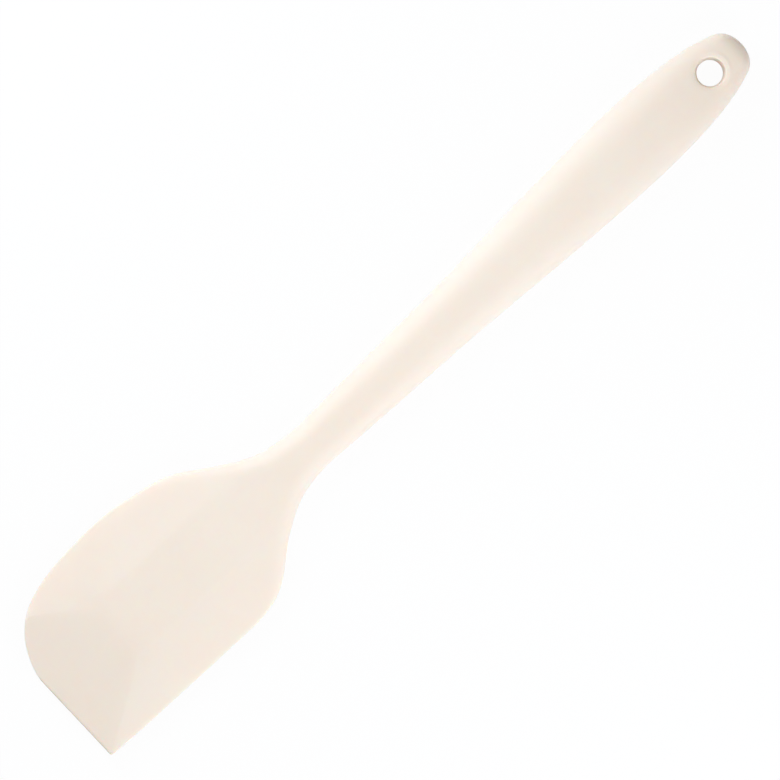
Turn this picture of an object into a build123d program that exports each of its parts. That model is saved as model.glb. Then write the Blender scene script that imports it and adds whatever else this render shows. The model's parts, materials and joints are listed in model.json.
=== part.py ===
"""Silicone spatula: a one-piece silicone moulding over a stamped steel core.

Millimetres. +X runs from the front edge of the blade to the hanging end, +Y to the side with the rounded
corner, +Z up. The origin is under the middle of the part, on the surface that it lies on.
"""

import os
from bisect import bisect_right
from math import cos, pi, radians, sin

from build123d import *

# Whole spatula
overall_length = 280.0

# Blade, seen from above: the rounded side is on the left, the straight side on the right
blade_left_width = 27.3
blade_right_width = 27.2

# Blade, seen from the side: a flat middle, with a long bevel to the tip and shorter ones to the sides
blade_thickness = 8.0
edge_thickness = 1.2
tip_bevel_length = 27.0
flat_left_width = 9.5
flat_right_width = 10.0

# Neck, placed from the front edge, and grip, placed from the hanging end
neck_place = 108.0
neck_width = 14.4
neck_thickness = 10.3
neck_flat_width = 1.1
grip_setback = 44.0
grip_width = 24.8
grip_thickness = 14.0
grip_flat_width = 2.0

# Eye, where the hanging hole goes through, placed from the hanging end
eye_setback = 12.8
eye_width = 20.0
eye_thickness = 10.6

# Hanging end, a blunt nose: half an ellipse, seen from above
nose_length = 5.5
nose_width = 15.4
nose_thickness_share = 0.62

# Hanging hole, with both rims rounded and a flat landing round them
hole_diameter = 7.7
hole_rim_radius = 1.0
hole_landing = 0.5

# Steel core: a stamped strip in the middle of the silicone
core_thickness = 2.0
core_tongue_place = 54.0
core_tongue_width = 14.0
core_tongue_length = 22.0
core_neck_width = 7.0
core_neck_length = 20.0
core_grip_width = 13.0
core_end_radius = 5.0
core_bend_radius = 18.0
core_hole_cover = 6.0
key_hole_diameter = 5.0
key_hole_shares = [0.06, 0.42, 0.60, 0.78, 0.94]

# Roundness of a section's side: a quarter ellipse on the grip, nearly a plain bevel on the blade
ellipse_share = 0.5523
bevel_share = 0.93

# Outline of the blade: place between the front edge and the neck, and how far the left and the right side
# stand out from the neck's width to the blade's full width. Below zero a side is narrower than the neck.
outline_shares = [
    (0.000, -0.134, 0.945),
    (0.006, 0.020, 0.947),
    (0.016, 0.180, 0.954),
    (0.028, 0.310, 0.960),
    (0.040, 0.420, 0.963),
    (0.056, 0.525, 0.966),
    (0.086, 0.680, 0.971),
    (0.130, 0.810, 0.976),
    (0.185, 0.903, 0.981),
    (0.250, 0.960, 0.986),
    (0.315, 0.989, 0.990),
    (0.390, 1.000, 0.994),
    (0.444, 0.988, 0.997),
    (0.481, 0.962, 1.000),
    (0.519, 0.926, 1.000),
    (0.556, 0.888, 0.993),
    (0.593, 0.846, 0.966),
    (0.630, 0.788, 0.912),
    (0.657, 0.722, 0.840),
    (0.685, 0.630, 0.742),
    (0.713, 0.527, 0.612),
    (0.741, 0.433, 0.485),
    (0.778, 0.308, 0.345),
    (0.815, 0.197, 0.225),
    (0.852, 0.112, 0.127),
    (0.889, 0.058, 0.058),
    (0.926, 0.027, 0.020),
    (0.963, 0.009, 0.004),
    (1.000, 0.000, 0.000),
]

# Sections: rows of the outline that round the corner, then steps along the tip bevel, the flat and the neck
corner_rows = 6
tip_bevel_steps = 5
flat_steps = 13
neck_steps = 10

# Form of the blade: place, width of the flat from the neck's to the blade's, rise from the blade's
# thickness to the neck's, and softening of the sides from a bevel to a quarter ellipse
form_shares = [
    (0.000, 1.00, 0.00, 0.00),
    (0.555, 1.00, 0.00, 0.00),
    (0.611, 1.00, 0.00, 0.06),
    (0.667, 1.00, 0.00, 0.18),
    (0.713, 0.95, 0.00, 0.34),
    (0.759, 0.78, 0.05, 0.54),
    (0.815, 0.50, 0.20, 0.76),
    (0.870, 0.26, 0.48, 0.92),
    (0.935, 0.08, 0.78, 1.00),
    (1.000, 0.00, 1.00, 1.00),
]
flat_end_share = 0.667

# The handle: place from the neck to the grip, and how far its width and its thickness have grown by then
handle_shares = [
    (0.09, 0.10, 0.12),
    (0.19, 0.19, 0.25),
    (0.30, 0.27, 0.40),
    (0.42, 0.37, 0.56),
    (0.54, 0.52, 0.72),
    (0.66, 0.69, 0.86),
    (0.78, 0.84, 0.96),
    (0.89, 0.94, 1.00),
    (1.00, 1.00, 1.00),
]

# From the grip to the hanging hole: place, and how far width and thickness have shrunk by then
eye_shares = [
    (0.36, 0.11, 0.12),
    (0.68, 0.39, 0.48),
    (1.00, 1.00, 1.00),
]

# From the hanging hole to the nose, which starts at its first angle: the same three shares
tail_shares = [
    (0.60, 0.54, 0.45),
]
nose_angles = [78, 58, 42, 28, 16, 6]

# Places that follow from the sizes above
front_x = -overall_length / 2
axis_y = (blade_right_width - blade_left_width) / 2
middle_z = grip_thickness / 2
grip_place = overall_length - grip_setback
eye_place = overall_length - eye_setback
hole_x = front_x + eye_place
eye_flat_width = hole_diameter / 2 + hole_rim_radius + hole_landing


def blend(start, end, share):
    """The value that lies a share of the way from start to end."""
    return start + (end - start) * share


def slope(table, index, column):
    """How steeply a table's column runs at one of its rows."""
    before = table[max(index - 1, 0)]
    after = table[min(index + 1, len(table) - 1)]
    return (after[column] - before[column]) / (after[0] - before[0])


def read(table, place, column):
    """A table's column at a place, on the smooth curve through its rows."""
    index = min(bisect_right([row[0] for row in table], place), len(table) - 1)
    start = table[index - 1]
    end = table[index]
    run = end[0] - start[0]
    share = (place - start[0]) / run
    rest = 1 - share
    value = start[column] * rest * rest * (1 + 2 * share) + end[column] * share * share * (1 + 2 * rest)
    value += run * slope(table, index - 1, column) * share * rest * rest
    value -= run * slope(table, index, column) * rest * share * share
    return value


def evenly(start, end, steps):
    """Places from start to end, both included."""
    return [blend(start, end, step / steps) for step in range(steps + 1)]


def section_plane(place):
    """The plane across the spatula at a distance from the front edge."""
    return Plane(origin=(front_x + place, axis_y, middle_z), x_dir=(0, 1, 0), z_dir=(1, 0, 0))


def side_curve(width, flat, rise, corner, softness):
    """One quarter of a section's side, from the flat top's edge out to the parting line."""
    inner = (flat, rise)
    outer = (width, 0)
    tip = (width, corner)
    hold = blend(bevel_share, ellipse_share, softness)
    inner_pull = (blend(inner[0], tip[0], hold), blend(inner[1], tip[1], hold))
    outer_pull = (width, corner * hold)
    return inner, inner_pull, outer_pull, outer


def section(place, left, right, rise, corner, softness):
    """A closed section: left and right give each side's width and flat, rise is half the thickness."""
    left_curve = side_curve(left[0], left[1], rise, corner[0], softness)
    right_curve = side_curve(right[0], right[1], rise, corner[1], softness)
    with BuildSketch(section_plane(place)) as outline:
        with BuildLine():
            Line((-right[1], rise), (left[1], rise))
            Bezier(*[(y, z) for y, z in left_curve])
            Bezier(*[(y, -z) for y, z in reversed(left_curve)])
            Line((left[1], -rise), (-right[1], -rise))
            Bezier(*[(-y, -z) for y, z in right_curve])
            Bezier(*[(-y, z) for y, z in reversed(right_curve)])
        make_face()
    return outline.sketch


def bevel_height(width, full_width, flat):
    """Half the blade's thickness where a side bevel has run out to this width."""
    run_out = (full_width - width) / (full_width - flat)
    return min(blend(edge_thickness, blade_thickness, run_out), blade_thickness) / 2


def blade_section(place):
    """A section of the blade at a distance from the front edge, up to the neck."""
    share = place / neck_place
    rim = edge_thickness / 2
    left = blend(neck_width / 2, blade_left_width, read(outline_shares, share, 1))
    right = blend(neck_width / 2, blade_right_width, read(outline_shares, share, 2))
    softness = read(form_shares, share, 3)
    flat_share = read(form_shares, share, 1)
    left_flat = blend(neck_flat_width, flat_left_width, flat_share)
    right_flat = blend(neck_flat_width, flat_right_width, flat_share)
    full_rise = blend(blade_thickness, neck_thickness, read(form_shares, share, 2)) / 2

    # The tip bevel thins the blade, and its flat reaches out to the mitres
    tip_share = min(place / tip_bevel_length, 1)
    rise = blend(rim, full_rise, tip_share)
    left_flat = min(blend(blade_left_width, left_flat, tip_share), left - rim)
    right_flat = blend(right - rim, right_flat, tip_share)

    left_bevel = min(bevel_height(left, blade_left_width, flat_left_width), rise)
    right_bevel = min(bevel_height(right, blade_right_width, flat_right_width), rise)
    corner = (blend(left_bevel, rise, softness), blend(right_bevel, rise, softness))
    return section(place, (left, left_flat), (right, right_flat), rise, corner, softness)


def oval_section(place, width, thickness, flat):
    """A section of the handle, an oval with a flat on top and below."""
    half = width / 2
    rise = thickness / 2
    return section(place, (half, flat), (half, flat), rise, (rise, rise), 1)


def oval_between(start, end, along_share, width_share, thickness_share):
    """An oval between two others, each one given as its place, width, thickness and flat."""
    return (
        blend(start[0], end[0], along_share),
        blend(start[1], end[1], width_share),
        blend(start[2], end[2], thickness_share),
        blend(start[3], end[3], along_share),
    )


def nose_oval(angle):
    """An oval of the nose, by the angle round its ellipse: 90 at its widest and 0 at its tip."""
    place = overall_length - nose_length * (cos(radians(nose_angles[-1])) - cos(radians(angle)))
    width = nose_width * sin(radians(angle))
    return place, width, width * nose_thickness_share, eye_flat_width * width / eye_width


# Places along the blade where its form changes
corner_places = [neck_place * row[0] for row in outline_shares[:corner_rows]]
flat_end = neck_place * flat_end_share

# The handle's ovals, from the neck to the nose
neck_oval = (neck_place, neck_width, neck_thickness, neck_flat_width)
grip_oval = (grip_place, grip_width, grip_thickness, grip_flat_width)
eye_oval = (eye_place, eye_width, eye_thickness, eye_flat_width)
nose_ovals = [nose_oval(angle) for angle in nose_angles]
handle_ovals = [oval_between(neck_oval, grip_oval, *shares) for shares in handle_shares]
handle_ovals += [oval_between(grip_oval, eye_oval, *shares) for shares in eye_shares]
handle_ovals += [oval_between(eye_oval, nose_ovals[0], *shares) for shares in tail_shares]
handle_ovals += nose_ovals

# Steel core, a flat strip with a tongue in the blade, a waist in the neck and holes that key the silicone
core_start = front_x + core_tongue_place
core_end = hole_x - hole_diameter / 2 - core_hole_cover
core_waist_end = front_x + neck_place
core_waist_start = core_waist_end - core_neck_length
with BuildPart() as steel_core:
    with BuildSketch(Plane(origin=(0, axis_y, middle_z))) as strip:
        with BuildLine():
            Polyline(
                (core_start, 0),
                (core_start, core_tongue_width / 2),
                (core_start + core_tongue_length, core_tongue_width / 2),
                (core_waist_start, core_neck_width / 2),
                (core_waist_end, core_neck_width / 2),
                (front_x + grip_place, core_grip_width / 2),
                (core_end, core_grip_width / 2),
                (core_end, 0),
            )
            mirror(about=Plane.XZ)
        make_face()
        corners = strip.vertices().group_by(Axis.X)
        fillet(corners[0] + corners[-1], core_end_radius)
        bends = strip.vertices().filter_by_position(
            Axis.X,
            core_start + core_tongue_length / 2,
            front_x + grip_place - core_bend_radius,
        )
        fillet(bends, core_bend_radius)
        with Locations([(blend(core_start, core_end, share), 0) for share in key_hole_shares]):
            Circle(key_hole_diameter / 2, mode=Mode.SUBTRACT)
    extrude(amount=core_thickness / 2, both=True)

# Silicone moulding, with the hanging hole and the space that the core fills
with BuildPart() as silicone_body:
    loft([blade_section(place) for place in corner_places])
    loft([blade_section(place) for place in evenly(corner_places[-1], tip_bevel_length, tip_bevel_steps)])
    loft([blade_section(place) for place in evenly(tip_bevel_length, flat_end, flat_steps)])
    neck_sections = [blade_section(place) for place in evenly(flat_end, neck_place, neck_steps)]
    handle_sections = [oval_section(*oval) for oval in handle_ovals]
    loft(neck_sections + handle_sections)
    with BuildSketch(Plane.XY):
        with Locations((hole_x, axis_y)):
            Circle(hole_diameter / 2)
    extrude(amount=grip_thickness, mode=Mode.SUBTRACT)
    hole_wall = silicone_body.faces().filter_by(GeomType.CYLINDER)
    hole_rims = hole_wall.edges().filter_by(GeomType.LINE, reverse=True)
    fillet(hole_rims, hole_rim_radius)
    hole_wall = silicone_body.faces().filter_by(GeomType.CYLINDER)
    print("hanging hole wall length %.2f" % (hole_wall[0].area / (pi * hole_diameter)))
    add(steel_core.part, mode=Mode.SUBTRACT)

steel_core.part.label = "steel_core"
silicone_body.part.label = "silicone_body"

os.makedirs("parts", exist_ok=True)
export_step(steel_core.part, "parts/steel_core.step")
export_step(silicone_body.part, "parts/silicone_body.step")

for piece in (steel_core, silicone_body):
    size = piece.part.bounding_box().size
    print(piece.part.label, "volume %.0f mm3" % piece.part.volume, "size %.2f x %.2f x %.2f" % (*size,))
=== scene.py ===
# %% [markdown]
# A silicone spatula, dressed for its portrait
#
# The spatula is one moulding of cream silicone round a hidden strip of steel. It lies flat on white and
# is seen straight from above. The CAD model fixes where everything is, so it is loaded first, and every
# piece that is made here is placed by it.

import json
from bisect import bisect_right
from math import atan2, cos, pi, radians, sin, sqrt

import bmesh
import bpy
from mathutils import Matrix, Vector


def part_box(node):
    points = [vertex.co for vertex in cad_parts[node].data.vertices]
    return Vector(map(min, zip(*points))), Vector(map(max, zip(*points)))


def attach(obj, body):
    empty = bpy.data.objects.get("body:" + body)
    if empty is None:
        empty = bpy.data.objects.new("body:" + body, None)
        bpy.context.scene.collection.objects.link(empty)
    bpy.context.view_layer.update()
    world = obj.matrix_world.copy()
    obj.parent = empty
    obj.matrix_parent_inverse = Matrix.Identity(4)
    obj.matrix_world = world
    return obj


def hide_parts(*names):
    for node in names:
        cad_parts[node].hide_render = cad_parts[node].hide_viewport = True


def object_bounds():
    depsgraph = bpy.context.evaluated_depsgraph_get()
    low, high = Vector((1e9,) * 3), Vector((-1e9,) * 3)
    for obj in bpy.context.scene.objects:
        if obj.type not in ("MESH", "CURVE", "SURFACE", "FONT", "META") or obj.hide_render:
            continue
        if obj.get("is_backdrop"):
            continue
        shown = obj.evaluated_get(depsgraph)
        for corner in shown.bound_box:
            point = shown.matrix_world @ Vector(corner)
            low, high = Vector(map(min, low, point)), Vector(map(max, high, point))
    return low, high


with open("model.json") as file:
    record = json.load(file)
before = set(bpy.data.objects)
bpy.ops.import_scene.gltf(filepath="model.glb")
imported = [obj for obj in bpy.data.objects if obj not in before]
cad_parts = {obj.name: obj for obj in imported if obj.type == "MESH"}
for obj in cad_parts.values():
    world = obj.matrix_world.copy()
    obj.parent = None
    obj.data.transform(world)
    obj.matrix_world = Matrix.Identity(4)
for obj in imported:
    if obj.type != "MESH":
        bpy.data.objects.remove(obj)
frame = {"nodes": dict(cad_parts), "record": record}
cad_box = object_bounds()
print("CAD nodes:", sorted(frame["nodes"]))

# %% Places that the frame gives
mm = 0.001
body_low, body_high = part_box("silicone_body")
hole_mount = frame["record"]["mounts"][0]
hole_centre = Vector(hole_mount["pos_m"])
hole_radius = hole_mount["dims"]["r_mm"] * mm
front_x = body_low.x
overall_length = body_high.x - body_low.x
axis_y = hole_centre.y
middle_z = hole_centre.z
print("length %.1f mm, hole radius %.2f mm" % (overall_length / mm, hole_radius / mm))

# %% [markdown]
# The shape of the moulding
#
# The real spatula comes out of a two-part mould. Its blade is a low hip roof: a flat middle, a long bevel
# down to the front edge and a shorter bevel to each side. Towards the neck the bevels turn into a full
# round, and the handle is an oval that swells to the grip and ends in a blunt nose.
#
# A shape like this could be sculpted, or cut from a block. Here it is drawn the way a boat is lofted: one
# closed ring of points is extruded along the spatula, and at each station the ring takes the section that
# the spatula has there. The rows of the mesh then follow the ridges of the blade, which keeps them
# straight and even.

# %% Sizes of the blade and the neck
blade_left_width = 27.3 * mm
blade_right_width = 27.2 * mm
blade_thickness = 8.0 * mm
edge_thickness = 1.2 * mm
tip_bevel_length = 27.0 * mm
flat_left_width = 9.5 * mm
flat_right_width = 10.0 * mm
neck_place = 108.0 * mm
neck_width = 14.4 * mm
neck_thickness = 10.3 * mm
neck_flat_width = 1.1 * mm
print("blade %.1f mm wide, neck %.1f mm" % ((blade_left_width + blade_right_width) / mm, neck_width / mm))


# %% Reading a table as a smooth curve
def blend(start, end, share):
    """The value that lies a share of the way from start to end."""
    return start + (end - start) * share


def slope(table, index, column):
    """How steeply a table's column runs at one of its rows."""
    before = table[max(index - 1, 0)]
    after = table[min(index + 1, len(table) - 1)]
    return (after[column] - before[column]) / (after[0] - before[0])


def read(table, place, column):
    """A table's column at a place, on the smooth curve through its rows."""
    index = min(bisect_right([row[0] for row in table], place), len(table) - 1)
    start = table[index - 1]
    end = table[index]
    run = end[0] - start[0]
    share = (place - start[0]) / run
    rest = 1 - share
    value = start[column] * rest * rest * (1 + 2 * share) + end[column] * share * share * (1 + 2 * rest)
    value += run * slope(table, index - 1, column) * share * rest * rest
    value -= run * slope(table, index, column) * rest * share * share
    return value


# %% [markdown]
# A section across the spatula
#
# A section has a flat on top, a side that comes down to the parting line, and the same again below. The
# side could be drawn with lines and arcs, but then the blade's bevel couldn't turn into the handle's
# round without a step. So each side is one curve that two points pull at, and a single value, the
# softness, takes it from an almost straight bevel to an ellipse.

# %% One side of a section
# How far from the curve's ends the two points pull, for a round and for a bevel, and how hollow the bevel is
ellipse_share = 0.5523
bevel_share = 0.90
hollow_share = 0.08


def side_point(width, flat, rise, corner, softness, share):
    """A point on a section's side: share 0 is the edge of the flat and 1 is the parting line."""
    hold = blend(bevel_share, ellipse_share, softness)
    pulls = [
        (flat, rise),
        (blend(flat, width, hold), blend(rise, corner, hold)),
        (width, corner * hold),
        (width, 0.0),
    ]
    rest = 1 - share
    weights = [rest**3, 3 * rest**2 * share, 3 * rest * share**2, share**3]
    y = sum(weight * pull[0] for weight, pull in zip(weights, pulls))
    z = sum(weight * pull[1] for weight, pull in zip(weights, pulls))

    # The slight hollow is deepest halfway down the bevel and keeps the ridge at its upper edge crisp
    run = (y - flat) / (width - flat)
    z -= 4 * hollow_share * (rise - corner) * run * (1 - run) * (1 - softness)
    return (y, z)


# %% The ring of a section
# A ring has a row of points across the upper flat, one down the left side, one across the lower flat and
# one up the right side. The shares put more points near the ridges, which stay crisp when it is smoothed.
flat_point_shares = [-0.88, -0.62, -0.30, 0.0, 0.30, 0.62, 0.88]
side_point_shares = [0.0, 0.035, 0.10, 0.19, 0.29, 0.39, 0.49, 0.59, 0.69, 0.79, 0.88, 0.95, 1.0]


def section(left, right, rise, corner, softness):
    """The ring as (y, z) pairs from the axis: left and right give each side's width and flat."""
    left_side = [side_point(*left, rise, corner[0], softness, share) for share in side_point_shares]
    right_side = [side_point(*right, rise, corner[1], softness, share) for share in side_point_shares]
    flat_row = [(left[1] * share if share > 0 else right[1] * share) for share in flat_point_shares]
    ring = [(y, rise) for y in flat_row]
    ring += left_side
    ring += [(y, -z) for y, z in reversed(left_side[:-1])]
    ring += [(y, -rise) for y in reversed(flat_row)]
    ring += [(-y, -z) for y, z in right_side]
    ring += [(-y, z) for y, z in reversed(right_side[:-1])]
    return ring


# %% Points of a ring that the hole opens
# The block above the hole is the upper flat with the upper end of each side. The lower block is its mirror.
ring_count = 2 * len(flat_point_shares) + 4 * len(side_point_shares) - 2
block_share = 0.3
block_reach = len([share for share in side_point_shares if share < block_share])
upper_block = set(range(len(flat_point_shares) + block_reach))
upper_block |= {ring_count - number for number in range(1, block_reach + 1)}
lower_block = {(number + ring_count // 2) % ring_count for number in upper_block}
print("points in a ring:", ring_count, "opened for the hole:", len(upper_block), "and", len(lower_block))

# %% [markdown]
# The blade
#
# The blade has one sharp corner and one rounded corner at the front, and two shoulders that aren't alike.
# Its outline could be a list of points in millimetres. Here it is a table of shares of the blade's own
# width, with a smooth curve through the rows, so it still fits when the blade is made wider or longer.

# %% Outline of the blade
# Each row is a place up to the neck, then how far the left and the right side stand out from the neck
outline_shares = [
    (0.000, -0.134, 0.945),
    (0.006, 0.020, 0.947),
    (0.016, 0.180, 0.954),
    (0.028, 0.310, 0.960),
    (0.040, 0.420, 0.963),
    (0.056, 0.525, 0.966),
    (0.086, 0.680, 0.971),
    (0.130, 0.810, 0.976),
    (0.185, 0.903, 0.981),
    (0.250, 0.960, 0.986),
    (0.315, 0.989, 0.990),
    (0.390, 1.000, 0.994),
    (0.444, 0.988, 0.997),
    (0.481, 0.962, 1.000),
    (0.519, 0.926, 1.000),
    (0.556, 0.888, 0.993),
    (0.593, 0.846, 0.966),
    (0.630, 0.788, 0.912),
    (0.657, 0.722, 0.840),
    (0.685, 0.630, 0.742),
    (0.713, 0.527, 0.612),
    (0.741, 0.433, 0.485),
    (0.778, 0.308, 0.345),
    (0.815, 0.197, 0.225),
    (0.852, 0.112, 0.127),
    (0.889, 0.058, 0.058),
    (0.926, 0.027, 0.020),
    (0.963, 0.009, 0.004),
    (1.000, 0.000, 0.000),
]

# %% Form of the blade
# Each row is a place, the width of the flat, the rise from blade to neck, the softness of the side
form_shares = [
    (0.000, 1.00, 0.00, 0.00),
    (0.555, 1.00, 0.00, 0.00),
    (0.611, 1.00, 0.00, 0.06),
    (0.667, 1.00, 0.00, 0.18),
    (0.713, 0.95, 0.00, 0.34),
    (0.759, 0.78, 0.05, 0.54),
    (0.815, 0.50, 0.20, 0.76),
    (0.870, 0.26, 0.48, 0.92),
    (0.935, 0.08, 0.78, 1.00),
    (1.000, 0.00, 1.00, 1.00),
]


# %% Sections of the blade
def bevel_height(width, full_width, flat):
    """Half the blade's thickness where a side bevel has run out to this width."""
    run_out = (full_width - width) / (full_width - flat)
    return min(blend(edge_thickness, blade_thickness, run_out), blade_thickness) / 2


def blade_ring(place):
    """The blade's ring at a distance from the front edge, up to the neck."""
    share = place / neck_place
    rim = edge_thickness / 2
    left = blend(neck_width / 2, blade_left_width, read(outline_shares, share, 1))
    right = blend(neck_width / 2, blade_right_width, read(outline_shares, share, 2))
    softness = read(form_shares, share, 3)
    flat_share = read(form_shares, share, 1)
    left_flat = blend(neck_flat_width, flat_left_width, flat_share)
    right_flat = blend(neck_flat_width, flat_right_width, flat_share)
    full_rise = blend(blade_thickness, neck_thickness, read(form_shares, share, 2)) / 2

    # The tip bevel thins the blade, and its flat reaches out to the mitres
    tip_share = min(place / tip_bevel_length, 1)
    rise = blend(rim, full_rise, tip_share)
    left_flat = min(blend(blade_left_width, left_flat, tip_share), left - rim)
    right_flat = blend(right - rim, right_flat, tip_share)

    left_corner = blend(min(bevel_height(left, blade_left_width, flat_left_width), rise), rise, softness)
    right_corner = blend(min(bevel_height(right, blade_right_width, flat_right_width), rise), rise, softness)

    # The front edge is rounded over, so the first rings are thinner and a little narrower
    rounded = sqrt(max(1 - max(1 - place / rim, 0) ** 2, 0))
    drawn_in = rim * (1 - rounded)
    return section(
        (left - drawn_in, left_flat - drawn_in),
        (right - drawn_in, right_flat - drawn_in),
        rise * rounded,
        (left_corner * rounded, right_corner * rounded),
        softness,
    )


# %% [markdown]
# The handle
#
# The handle swells from the neck to the grip, narrows to the eye round the hanging hole and ends in a
# blunt nose. A single curve could give its outline, but width and thickness grow at their own pace. So
# each row of a table says how far both have come, and the nose is a quarter of an ellipse that is read by
# its angle, which sets its rings closer as it turns in.

# %% Sizes of the handle
grip_setback = 44.0 * mm
grip_place = overall_length - grip_setback
grip_width = 24.8 * mm

# The grip stays this much inside the CAD model's box
inset = 0.05 * mm
grip_thickness = body_high.z - body_low.z - inset
grip_flat_width = 2.0 * mm

# The eye is the end round the hanging hole, and the nose is its tip
eye_place = hole_centre.x - front_x
eye_width = 20.0 * mm
eye_thickness = 10.6 * mm
eye_landing = 1.5 * mm
eye_flat_width = hole_radius + eye_landing
nose_length = 5.5 * mm
nose_width = 15.4 * mm
nose_thickness_share = 0.62
print("grip %.1f mm wide and %.1f mm thick" % (grip_width / mm, grip_thickness / mm))

# %% Rows of the handle
# Place from the neck to the grip, then how far its width and its thickness have grown
handle_shares = [
    (0.00, 0.00, 0.00),
    (0.09, 0.10, 0.12),
    (0.19, 0.19, 0.25),
    (0.30, 0.27, 0.40),
    (0.42, 0.37, 0.56),
    (0.54, 0.52, 0.72),
    (0.66, 0.69, 0.86),
    (0.78, 0.84, 0.96),
    (0.89, 0.94, 1.00),
    (1.00, 1.00, 1.00),
]

# From the grip to the hanging hole: place, then how far width and thickness have shrunk
eye_shares = [
    (0.36, 0.11, 0.12),
    (0.68, 0.39, 0.48),
    (1.00, 1.00, 1.00),
]

# From the hanging hole to the nose: the same three shares, once
tail_shares = (0.60, 0.54, 0.35)

# Angles round the nose, in degrees, from where it starts to its tip
nose_angles = [78, 70, 62, 54, 46, 39, 32, 25, 18, 12, 6]

# %% Rows of the handle in metres
# Each row is a place, a width, a thickness and a flat
handle_rows = []
for along, wide, thick in handle_shares:
    handle_rows.append(
        (
            blend(neck_place, grip_place, along),
            blend(neck_width, grip_width, wide),
            blend(neck_thickness, grip_thickness, thick),
            blend(neck_flat_width, grip_flat_width, wide),
        )
    )
for along, wide, thick in eye_shares:
    handle_rows.append(
        (
            blend(grip_place, eye_place, along),
            blend(grip_width, eye_width, wide),
            blend(grip_thickness, eye_thickness, thick),
            blend(grip_flat_width, eye_flat_width, along),
        )
    )


def nose_row(angle):
    """Place, width, thickness and flat on the blunt nose, by the angle round its ellipse."""
    place = overall_length - nose_length * (cos(radians(nose_angles[-1])) - cos(radians(angle)))
    width = nose_width * sin(radians(angle))
    return (place, width, width * nose_thickness_share, eye_flat_width * width / eye_width)


eye_row = handle_rows[-1]
nose_start = nose_row(nose_angles[0])
tail_along, tail_wide, tail_thick = tail_shares
handle_rows.append(
    (
        blend(eye_row[0], nose_start[0], tail_along),
        blend(eye_row[1], nose_start[1], tail_wide),
        blend(eye_row[2], nose_start[2], tail_thick),
        blend(eye_row[3], nose_start[3], tail_along),
    )
)
handle_rows.append(nose_start)
handle_rows.append(nose_row(nose_angles[2]))
print("rows of the handle:", len(handle_rows))


# %% Sections of the handle
def oval_ring(width, thickness, flat):
    """A ring of the handle, an oval with a flat on top and below."""
    half = width / 2
    rise = thickness / 2
    return section((half, flat), (half, flat), rise, (rise, rise), 1)


def handle_ring(place):
    """The handle's ring at a distance from the front edge, from the neck to the nose."""
    return oval_ring(*[read(handle_rows, place, column) for column in (1, 2, 3)])


# %% [markdown]
# Extruding the moulding
#
# A skin over the rings could be put together from a list of faces. Extruding builds the same skin as one
# would by hand: the ring starts as a circle at the front edge and is extruded from station to station. It
# gets a number on each of its points, and an extruded point keeps the number of the point that it came
# from, so each new ring can be laid onto its section without any guessing.


# %% Stations along the spatula
def evenly(start, end, steps):
    """Places from start to end, without the start."""
    return [blend(start, end, step / steps) for step in range(1, steps + 1)]


edge_angles = [0, 18, 36, 54, 72, 90]
edge_places = [edge_thickness / 2 * (1 - cos(radians(angle))) for angle in edge_angles]
corner_end = 14.0 * mm
ridge_band = 1.2 * mm

# The hanging hole sits in a round pad, inside a square block of rings
pad_radius = 6.5 * mm
pad_edge = 0.50 * mm
hole_block = pad_radius + 2 * pad_edge
block_start = eye_place - hole_block
block_end = eye_place + hole_block

# Each stretch is divided evenly, finer where the outline turns sooner
stations = list(edge_places)
stations += evenly(edge_places[-1], corner_end, steps=12)
stations += evenly(corner_end, tip_bevel_length - ridge_band, steps=6)
stations += [tip_bevel_length, tip_bevel_length + ridge_band]
stations += evenly(tip_bevel_length + ridge_band, neck_place, steps=34)
blade_count = len(stations)
stations += evenly(neck_place, block_start, steps=50)
stations += evenly(block_start, block_end, steps=10)
stations += evenly(block_end, nose_start[0], steps=2)
rings = [(place, blade_ring(place)) for place in stations[:blade_count]]
rings += [(place, handle_ring(place)) for place in stations[blade_count:-1]]
for angle in nose_angles:
    row = nose_row(angle)
    rings.append((row[0], oval_ring(*row[1:])))
print("rings along the spatula:", len(rings))


# %% Helpers for edit mode
def clear_selection():
    """Deselects all, as a new primitive or an operator acts on what is selected."""
    bpy.ops.object.select_all(action="DESELECT")


def select_only(piece):
    """Makes one piece the selected and active one."""
    clear_selection()
    piece.select_set(True)
    bpy.context.view_layer.objects.active = piece


def lay_ring(mesh, numbers, place, ring):
    """Moves the selected points of a ring onto a section."""
    for point in mesh.verts:
        if point.select:
            y, z = ring[point[numbers]]
            point.co = (front_x + place, axis_y + y, middle_z + z)


# %% Extrude the ring from the front edge to the nose
doubles_gap = 0.001 * mm
clear_selection()
bpy.ops.mesh.primitive_circle_add(vertices=ring_count, radius=neck_width, location=(0, 0, 0))
moulding = bpy.context.object
moulding.name = "silicone_moulding"
moulding.data.name = "silicone_moulding"
bpy.ops.object.mode_set(mode="EDIT")
mesh = bmesh.from_edit_mesh(moulding.data)
numbers = mesh.verts.layers.int.new("ring_number")
mesh.verts.ensure_lookup_table()
for number, point in enumerate(mesh.verts):
    point[numbers] = number
lay_ring(mesh, numbers, *rings[0])
for place, ring in rings[1:]:
    bpy.ops.mesh.extrude_region_move()
    mesh = bmesh.from_edit_mesh(moulding.data)
    numbers = mesh.verts.layers.int["ring_number"]
    lay_ring(mesh, numbers, place, ring)
bpy.ops.mesh.edge_face_add()
bpy.ops.mesh.select_all(action="SELECT")
bpy.ops.mesh.remove_doubles(threshold=doubles_gap)
bpy.ops.mesh.normals_make_consistent(inside=False)
mesh = bmesh.from_edit_mesh(moulding.data)
print("points after the extrusion:", len(mesh.verts))

# %% [markdown]
# Softening the mitres
#
# Where the front bevel meets a side bevel there is a sloping ridge, a mitre. In the photograph the mitres
# fade, and the one to the rounded corner fades most, while the ridges along the flat stay crisp. A bevel
# along the mitre would cut across the rows of the mesh. So the points close to each mitre are smoothed
# instead, and only in height, which leaves the outline alone.


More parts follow.
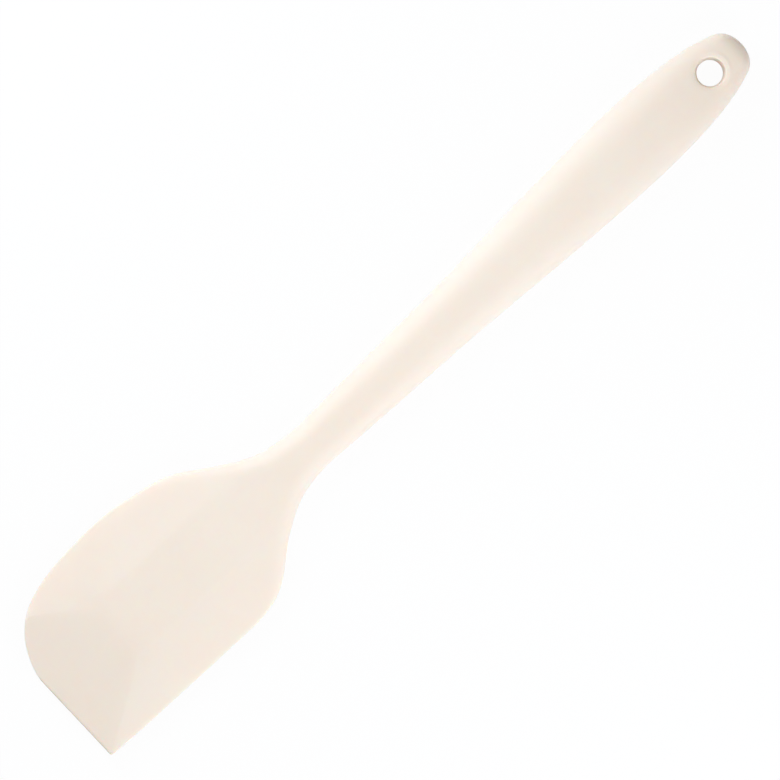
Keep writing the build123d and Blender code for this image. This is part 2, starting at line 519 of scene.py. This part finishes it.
# %% Soften the mitres
def soften_mitre(start, end, reach, rounds):
    """Evens out the height of the points close to a line, given in places and distances from the axis."""
    bpy.ops.mesh.select_all(action="DESELECT")
    mesh = bmesh.from_edit_mesh(moulding.data)
    along = end - start
    for point in mesh.verts:
        spot = Vector((point.co.x - front_x, point.co.y - axis_y)) - start
        share = min(max(spot.dot(along) / along.length_squared, 0), 1)
        point.select_set((spot - along * share).length < reach)
    print("points beside the mitre:", sum(point.select for point in mesh.verts))
    bmesh.update_edit_mesh(moulding.data)
    bpy.ops.mesh.vertices_smooth(factor=0.5, repeat=rounds, xaxis=False, yaxis=False, zaxis=True)


# Each mitre has its start near the corner, its end at the flat, the reach to each side and the rounds
left_mitre = (Vector((11.5 * mm, 20.6 * mm)), Vector((tip_bevel_length, flat_left_width)), 3.2 * mm, 14)
right_mitre = (Vector((3.0 * mm, -24.2 * mm)), Vector((tip_bevel_length, -flat_right_width)), 1.8 * mm, 5)
soften_mitre(*left_mitre)
soften_mitre(*right_mitre)

# %% [markdown]
# The hanging hole
#
# On the real spatula the hole sits in a level pad, which shows as a faint bright crescent towards the
# nose, where the handle falls away below it. The rim is rolled over, and the wall narrows towards the
# middle, as a mould's pins need draft to come out.
#
# A hole could be cut with a boolean, but that leaves ragged faces round it. Here a square of faces is
# deleted above and below, and the open edge is extruded inwards ring by ring: onto the pad, down its
# slight dish, over the roll and down the wall. The two walls are joined with a bridge.

# %% Open a square above and below the hole
bpy.ops.mesh.select_all(action="DESELECT")
bpy.ops.mesh.select_mode(type="FACE")
mesh = bmesh.from_edit_mesh(moulding.data)
numbers = mesh.verts.layers.int["ring_number"]
for face in mesh.faces:
    beside_hole = abs(face.calc_center_median().x - hole_centre.x) < hole_block
    face_numbers = {point[numbers] for point in face.verts}
    face.select_set(beside_hole and (face_numbers <= upper_block or face_numbers <= lower_block))
bmesh.update_edit_mesh(moulding.data)
bpy.ops.mesh.delete(type="FACE")
bpy.ops.mesh.select_mode(type="VERT")
bpy.ops.mesh.select_non_manifold()
mesh = bmesh.from_edit_mesh(moulding.data)
print("open points round the hole:", sum(point.select for point in mesh.verts))

# %% Number the spokes of the hole
# A spoke is a direction from the hole's centre. Each point of an open edge gets its spoke's number, and the
# points that are extruded from it keep that number.
spokes = mesh.verts.layers.int.new("spoke")
open_points = [point for point in mesh.verts if point.select]


def spoke_angle(point):
    """The direction of a point, seen from the hole's centre."""
    return atan2(point.co.y - hole_centre.y, point.co.x - hole_centre.x)


spoke_count = len(open_points) // 2
for side in (1, -1):
    one_side = [point for point in open_points if (point.co.z - middle_z) * side > 0]
    one_side.sort(key=spoke_angle)
    straight_ahead = one_side.index(min(one_side, key=lambda point: abs(spoke_angle(point))))
    for number, point in enumerate(one_side):
        point[spokes] = number - straight_ahead
bmesh.update_edit_mesh(moulding.data)
print("spokes on each side:", spoke_count)

# %% Laying a rim
pad_thickness = 10.40 * mm


def surface_height(place, y):
    """The handle's height over its middle, at a place and a distance from the axis."""
    upper = sorted(point for point in handle_ring(place) if point[1] > 0)
    index = bisect_right(upper, (y, 0))
    (y_before, z_before), (y_after, z_after) = upper[index - 1], upper[index]
    return blend(z_before, z_after, (y - y_before) / (y_after - y_before))


def lay_rim(radius, drop):
    """Moves the selected points onto a circle round the hole, a drop below the surface or the pad there."""
    mesh = bmesh.from_edit_mesh(moulding.data)
    spokes = mesh.verts.layers.int["spoke"]
    for point in mesh.verts:
        if point.select:
            angle = 2 * pi * point[spokes] / spoke_count
            side = 1 if point.co.z > middle_z else -1
            place = eye_place + radius * cos(angle)
            surface = surface_height(place, radius * sin(angle))
            on_pad = min(max((pad_radius - radius) / pad_edge, 0), 1)
            surface += max(pad_thickness / 2 - surface, 0) * on_pad
            point.co = (
                front_x + place,
                axis_y + radius * sin(angle),
                middle_z + side * (surface - drop),
            )
    bmesh.update_edit_mesh(moulding.data)


# %% Extrude the rims inwards and bridge the wall
dish_radius = 5.6 * mm
dish_depth = 0.10 * mm
dish_share = 0.4
roll_width = 0.85 * mm
roll_depth = 0.45 * mm
roll_angles = [0, 20, 38, 54, 68, 80]
wall_draft = 0.60 * mm
wall_shares = [0.75, 0.45, 0.15]

# Each row is a radius round the hole and a drop: pad and dish, roll, wall
rim_rows = [(pad_radius + pad_edge, 0), (pad_radius, 0), (pad_radius - pad_edge, 0)]
rim_rows.append((dish_radius, dish_depth * dish_share))
for angle in roll_angles:
    turned = radians(angle)
    rolled = roll_width * (1 - sin(turned))
    rim_rows.append((hole_radius + wall_draft + rolled, dish_depth + roll_depth * (1 - cos(turned))))
for share in wall_shares:
    wall_drop = blend(pad_thickness / 2, dish_depth + roll_depth, share)
    rim_rows.append((hole_radius + wall_draft * share, wall_drop))
for radius, drop in rim_rows:
    bpy.ops.mesh.extrude_region_move()
    lay_rim(radius, drop)
bpy.ops.mesh.bridge_edge_loops(number_cuts=1)
bpy.ops.mesh.select_all(action="SELECT")
bpy.ops.mesh.normals_make_consistent(inside=False)
bpy.ops.object.mode_set(mode="OBJECT")
print("faces of the moulding:", len(moulding.data.polygons))

# %% [markdown]
# Smoothing
#
# The rings are a coarse cage on purpose. More and fuller rings could be laid instead, but one level of
# subdivision doubles the points both ways and rounds the cage off in a single step. It is applied, so
# that the mesh itself holds the shape that is seen.

# %% Smooth the moulding
select_only(moulding)
smoothing = moulding.modifiers.new("smoothing", "SUBSURF")
smoothing.levels = 1
smoothing.render_levels = 1
bpy.ops.object.modifier_apply(modifier=smoothing.name)
bpy.ops.object.shade_smooth()
print("faces after smoothing:", len(moulding.data.polygons))

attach(moulding, "root")
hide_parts("silicone_body")

# %% [markdown]
# Shader maths in plain expressions
#
# A procedural finish is a sum of patterns, and a long list of nodes and links is hard to read. So a small
# class wraps a socket and lets Python's own signs stand for the Math nodes, and one method adds every
# other node.


# %% The socket class
class Wire:
    """A socket of a finish, with arithmetic that adds Math nodes."""

    def __init__(self, finish, socket):
        self.finish = finish
        self.socket = socket

    def math(self, operation, first, second):
        return self.finish.node("ShaderNodeMath", {"operation": operation}, {0: first, 1: second})

    def __add__(self, other):
        return self.math("ADD", self, other)

    def __radd__(self, other):
        return self.math("ADD", other, self)

    def __sub__(self, other):
        return self.math("SUBTRACT", self, other)

    def __rsub__(self, other):
        return self.math("SUBTRACT", other, self)

    def __mul__(self, other):
        return self.math("MULTIPLY", self, other)

    def __rmul__(self, other):
        return self.math("MULTIPLY", other, self)


# %% The finish class
class Finish:
    """The node tree of a material or a world, which gets its nodes one by one."""

    def __init__(self, owner):
        owner.use_nodes = True
        self.owner = owner
        self.tree = owner.node_tree
        self.tree.nodes.clear()

    def node(self, kind, settings, sockets, output=0):
        """Adds a node: its settings first, such as a ramp's stops, then its sockets' values or wires."""
        node = self.tree.nodes.new(kind)
        for name, value in settings.items():
            if name == "stops":
                for element, (place, colour) in zip(node.color_ramp.elements, value):
                    element.position = place
                    element.color = colour
            else:
                setattr(node, name, value)
        for name, value in sockets.items():
            if isinstance(value, Wire):
                self.tree.links.new(value.socket, node.inputs[name])
            else:
                node.inputs[name].default_value = value
        return Wire(self, node.outputs[output]) if node.outputs else None

    def show(self, shader, kind="ShaderNodeOutputMaterial"):
        """Links a shader to the output and gives back the material or the world."""
        self.node(kind, {}, {"Surface": shader})
        print("nodes of %s: %d" % (self.owner.name, len(self.tree.nodes)))
        return self.owner


def put_on(piece, material):
    """Gives a piece one material."""
    piece.data.materials.clear()
    piece.data.materials.append(material)


# %% [markdown]
# Silicone
#
# Kitchen silicone is warm cream and nearly matt, because the mould's walls are lightly etched. It isn't
# quite opaque: light goes in by a millimetre or two and comes out again, red the farthest, and this takes
# the hardness off the ridges. Up close the colour is cloudy by a hair, and a speck of dust or two sticks
# to it, as silicone draws dust.
#
# A picture of silicone could be laid over the mesh, but it would stretch at the nose and need a file of
# its own. Patterns made of nodes are the same all over. The etched grain is much too fine to model, so a
# very low bump carries it.

# %% Cream silicone
silicone = Finish(bpy.data.materials.new("cream_silicone"))
spot = silicone.node("ShaderNodeTexCoord", {}, {}, "Object")


def silicone_noise(scale, detail, roughness):
    """A noise pattern on the silicone, with so many spots to a metre."""
    sockets = {"Vector": spot, "Scale": scale, "Detail": detail, "Roughness": roughness}
    return silicone.node("ShaderNodeTexNoise", {}, sockets)


clouds = silicone_noise(scale=38.0, detail=4.0, roughness=0.55)
grain = silicone_noise(scale=1900.0, detail=2.0, roughness=0.6)
dust = silicone.node("ShaderNodeTexVoronoi", {}, {"Vector": spot, "Scale": 75.0, "Randomness": 1.0})
cream_stops = [(0.30, (0.915, 0.790, 0.662, 1)), (0.70, (0.931, 0.811, 0.686, 1))]
cream = silicone.node("ShaderNodeValToRGB", {"stops": cream_stops}, {"Fac": clouds})
speck_stops = [(0.0, (1, 1, 1, 1)), (0.022, (0, 0, 0, 1))]
speck_mask = silicone.node("ShaderNodeValToRGB", {"stops": speck_stops}, {"Fac": dust})
speck_colour = (0.55, 0.42, 0.33, 1)
colour = silicone.node("ShaderNodeMix", {"data_type": "RGBA"}, {0: speck_mask, 6: cream, 7: speck_colour}, 2)
bump = silicone.node("ShaderNodeBump", {}, {"Strength": 0.10, "Distance": 0.05 * mm, "Height": grain})
surface = silicone.node(
    "ShaderNodeBsdfPrincipled",
    {},
    {
        "Base Color": colour,
        "Roughness": 0.46 + clouds * 0.08,
        "Normal": bump,
        "IOR": 1.43,
        "Subsurface Weight": 0.6,
        "Subsurface Radius": (1.0, 0.6, 0.4),
        "Subsurface Scale": 1.8 * mm,
    },
)
put_on(moulding, silicone.show(surface))

# %% [markdown]
# Brushed steel
#
# The core can't be seen once the silicone is round it, but it is there in the model, so it gets its own
# finish: stamped strip, brushed along its length. Brush marks are far too fine to be modelled, so they
# are a noise that is drawn out along the strip.

# %% Steel of the core
steel = Finish(bpy.data.materials.new("brushed_strip"))
strip_spot = steel.node("ShaderNodeTexCoord", {}, {}, "Object")
drawn_out = steel.node("ShaderNodeMapping", {}, {"Vector": strip_spot, "Scale": (18, 900, 900)})
brush_sockets = {"Vector": drawn_out, "Scale": 1.0, "Detail": 5.0, "Roughness": 0.65}
brushing = steel.node("ShaderNodeTexNoise", {}, brush_sockets)
steel_stops = [(0.3, (0.52, 0.52, 0.51, 1)), (0.7, (0.66, 0.66, 0.65, 1))]
steel_colour = steel.node("ShaderNodeValToRGB", {"stops": steel_stops}, {"Fac": brushing})
steel_bump = steel.node("ShaderNodeBump", {}, {"Strength": 0.2, "Distance": 0.02 * mm, "Height": brushing})
steel_surface = steel.node(
    "ShaderNodeBsdfPrincipled",
    {},
    {
        "Base Color": steel_colour,
        "Metallic": 1.0,
        "Roughness": 0.28 + brushing * 0.18,
        "Normal": steel_bump,
    },
)
put_on(frame["nodes"]["steel_core"], steel.show(steel_surface))

# %% [markdown]
# The floor
#
# The spatula rests on the grip's belly and on the front of the blade's flat, so it leans by less than a
# degree. The object could be turned, but it would leave the CAD frame, so it is kept level and the floor
# is tilted under it instead. The floor is white to the camera, with a part of real diffuse white in it
# that keeps the shadow.

# %% Floor under the spatula
lean = (blade_thickness - grip_thickness) / 2 / (grip_place - tip_bevel_length)
floor_width = 6.0
clear_selection()
bpy.ops.mesh.primitive_plane_add(size=floor_width, location=(0, 0, 0))
floor = bpy.context.object
floor.name = "floor"
bpy.ops.object.mode_set(mode="EDIT")
mesh = bmesh.from_edit_mesh(floor.data)
for point in mesh.verts:
    point.co.z = body_low.z + lean * (point.co.x - (front_x + grip_place))
bmesh.update_edit_mesh(floor.data)
bpy.ops.object.mode_set(mode="OBJECT")

glow_share = 0.96
paper = Finish(bpy.data.materials.new("white_paper"))
camera_ray = paper.node("ShaderNodeLightPath", {}, {}, "Is Camera Ray")
diffuse = paper.node("ShaderNodeBsdfDiffuse", {}, {"Color": (0.86, 0.86, 0.86, 1)})
glow = paper.node("ShaderNodeEmission", {}, {"Color": (1, 1, 1, 1), "Strength": 1.0})
paper_surface = paper.node("ShaderNodeMixShader", {}, {0: camera_ray * glow_share, 1: diffuse, 2: glow})
put_on(floor, paper.show(paper_surface))
floor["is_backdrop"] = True
print("floor lean %.2f degrees" % (lean * 180 / pi))

# %% [markdown]
# Light
#
# The photograph has two soft sources, one to each side of the spatula, and nothing bright along its
# length. That is why the sides of the handle look whiter than its middle, and why the front bevel and the
# nose are a little darker. One large softbox overhead would be simpler, but it would light the flat and
# the bevels almost alike.
#
# So a softbox stands upright on each side. It is a shade cooler than the world, which gives the rest of
# the light and is plain white where it is seen itself or in a reflection.

# %% Softboxes
softbox_size = (0.50, 0.20)
softbox_colour = (0.91, 1.00, 1.15)


def soft_lamp(name, place, power):
    """An upright softbox at a place, turned towards the spatula's middle."""
    data = bpy.data.lights.new(name, "AREA")
    data.shape = "RECTANGLE"
    data.size, data.size_y = softbox_size
    data.energy = power
    data.color = softbox_colour
    lamp = bpy.data.objects.new(name, data)
    bpy.context.scene.collection.objects.link(lamp)
    lamp.location = place
    lamp.rotation_euler = Vector(place).to_track_quat("Z", "X").to_euler()
    print("%s with %.2f watts" % (name, power))


soft_lamp("left_softbox", place=(0.00, 0.40, 0.23), power=1.62)
soft_lamp("right_softbox", place=(-0.03, -0.40, 0.23), power=1.42)

# %% World
studio = Finish(bpy.data.worlds.new("studio"))

# This is 1 for rays that only light the spatula, and 0 for those that show the world itself
lighting_only = 1.0
for ray in ("Is Camera Ray", "Is Glossy Ray", "Is Transmission Ray"):
    lighting_only = lighting_only * (1 - studio.node("ShaderNodeLightPath", {}, {}, ray))
plain_white = studio.node("ShaderNodeBackground", {}, {"Color": (1, 1, 1, 1), "Strength": 1.0})
fill_light = studio.node("ShaderNodeBackground", {}, {"Color": (1.02, 1, 0.98, 1), "Strength": 0.45})
studio_surface = studio.node("ShaderNodeMixShader", {}, {0: lighting_only, 1: plain_white, 2: fill_light})
bpy.context.scene.world = studio.show(studio_surface, "ShaderNodeOutputWorld")

# %% [markdown]
# Camera
#
# The photograph looks straight down. The spatula lies across the picture at 43.2 degrees, blade at the
# lower left and hanging hole at the upper right. The spatula could be turned under the camera, but it
# stays in the CAD frame, so the camera is turned by that much about the upright axis.

# %% Camera over the spatula
turn = radians(43.17)
frame_width = 230.7 * mm
camera_height = 2.2
centre_ahead = -5.88 * mm
centre_aside = -3.67 * mm
picture_centre = Vector((centre_ahead, axis_y + centre_aside, middle_z))
camera_data = bpy.data.cameras.new("camera")
camera_data.sensor_width = 36.0
camera_data.lens = camera_data.sensor_width * camera_height / frame_width
camera = bpy.data.objects.new("camera", camera_data)
bpy.context.scene.collection.objects.link(camera)
right = Vector((cos(turn), -sin(turn), 0))
up = Vector((sin(turn), cos(turn), 0))
back = right.cross(up)
camera.matrix_world = Matrix(
    (
        (right.x, up.x, back.x, picture_centre.x),
        (right.y, up.y, back.y, picture_centre.y),
        (right.z, up.z, back.z, picture_centre.z + camera_height),
        (0, 0, 0, 1),
    )
)
bpy.context.scene.camera = camera
bpy.context.scene.view_settings.view_transform = "Standard"
print("lens %.1f mm at %.1f m" % (camera_data.lens, camera_height))

# %% [markdown]
# Measuring
#
# Both boxes, the CAD model's and the dressed spatula's, are printed side by side before the scene is
# closed. The dressed spatula has to stay inside the CAD model's box.

# %% Measure and finish
visual_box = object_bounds()
sizes = {
    "cad": [list(corner) for corner in cad_box],
    "visual": [list(corner) for corner in visual_box],
}
for name, (low, high) in sizes.items():
    print(name, ["%.2f" % (value / mm) for value in low + high])
